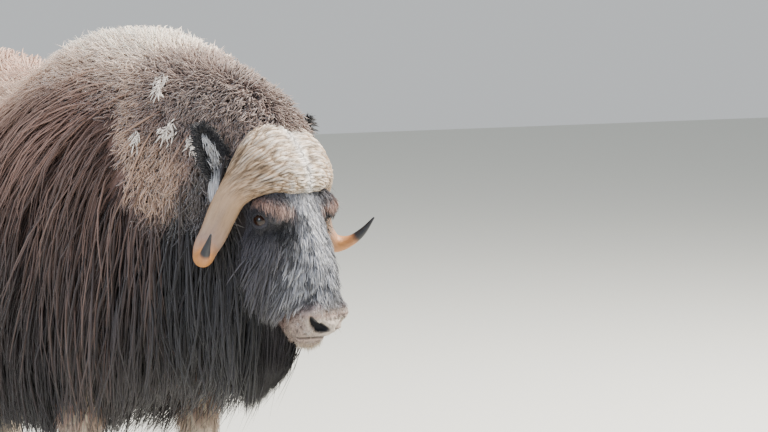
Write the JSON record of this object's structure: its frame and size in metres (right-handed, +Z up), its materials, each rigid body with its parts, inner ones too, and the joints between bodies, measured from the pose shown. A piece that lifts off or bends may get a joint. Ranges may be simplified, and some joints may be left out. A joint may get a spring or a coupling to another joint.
{
  "type": "muskox model",
  "caption": "Still, life-size adult bull muskox standing with lowered head turned a little left, long hanging coat, horn boss, drooping hooked horns and cloven hooves",
  "frame": {"origin": "middle of the whole animal's box at floor level, on the plane of the hoof soles", "axes": "+X towards the head, +Y to the animal's left, +Z up"},
  "size_m": [2.1144, 0.861, 1.3456],
  "materials": {
    "coat": "long dark brown guard hair",
    "wool": "pale brown woolly fleece",
    "face": "short dark hair with grey-white streaks",
    "horn": "rough ridged horn, cream at the boss, dark at the tip",
    "ear": "short black hair",
    "eye": "dark brown, wet shine",
    "stocking": "pale short leg hair",
    "hoof": "dark keratin"
  },
  "bodies": {
    "root": {"neck": "coat", "back": "wool", "rump": "coat", "flank_right": "coat", "flank_left": "coat", "head": "face", "tail": "coat", "horn_right": "horn", "horn_left": "horn", "ear_right": "ear", "ear_left": "ear", "eye_right": "eye", "eye_left": "eye", "fore_leg_right": "stocking", "fore_leg_left": "stocking", "hind_leg_right": "stocking", "hind_leg_left": "stocking", "fore_hoof_right": "hoof", "fore_hoof_left": "hoof", "hind_hoof_right": "hoof", "hind_hoof_left": "hoof"}
  },
  "joints": []
}
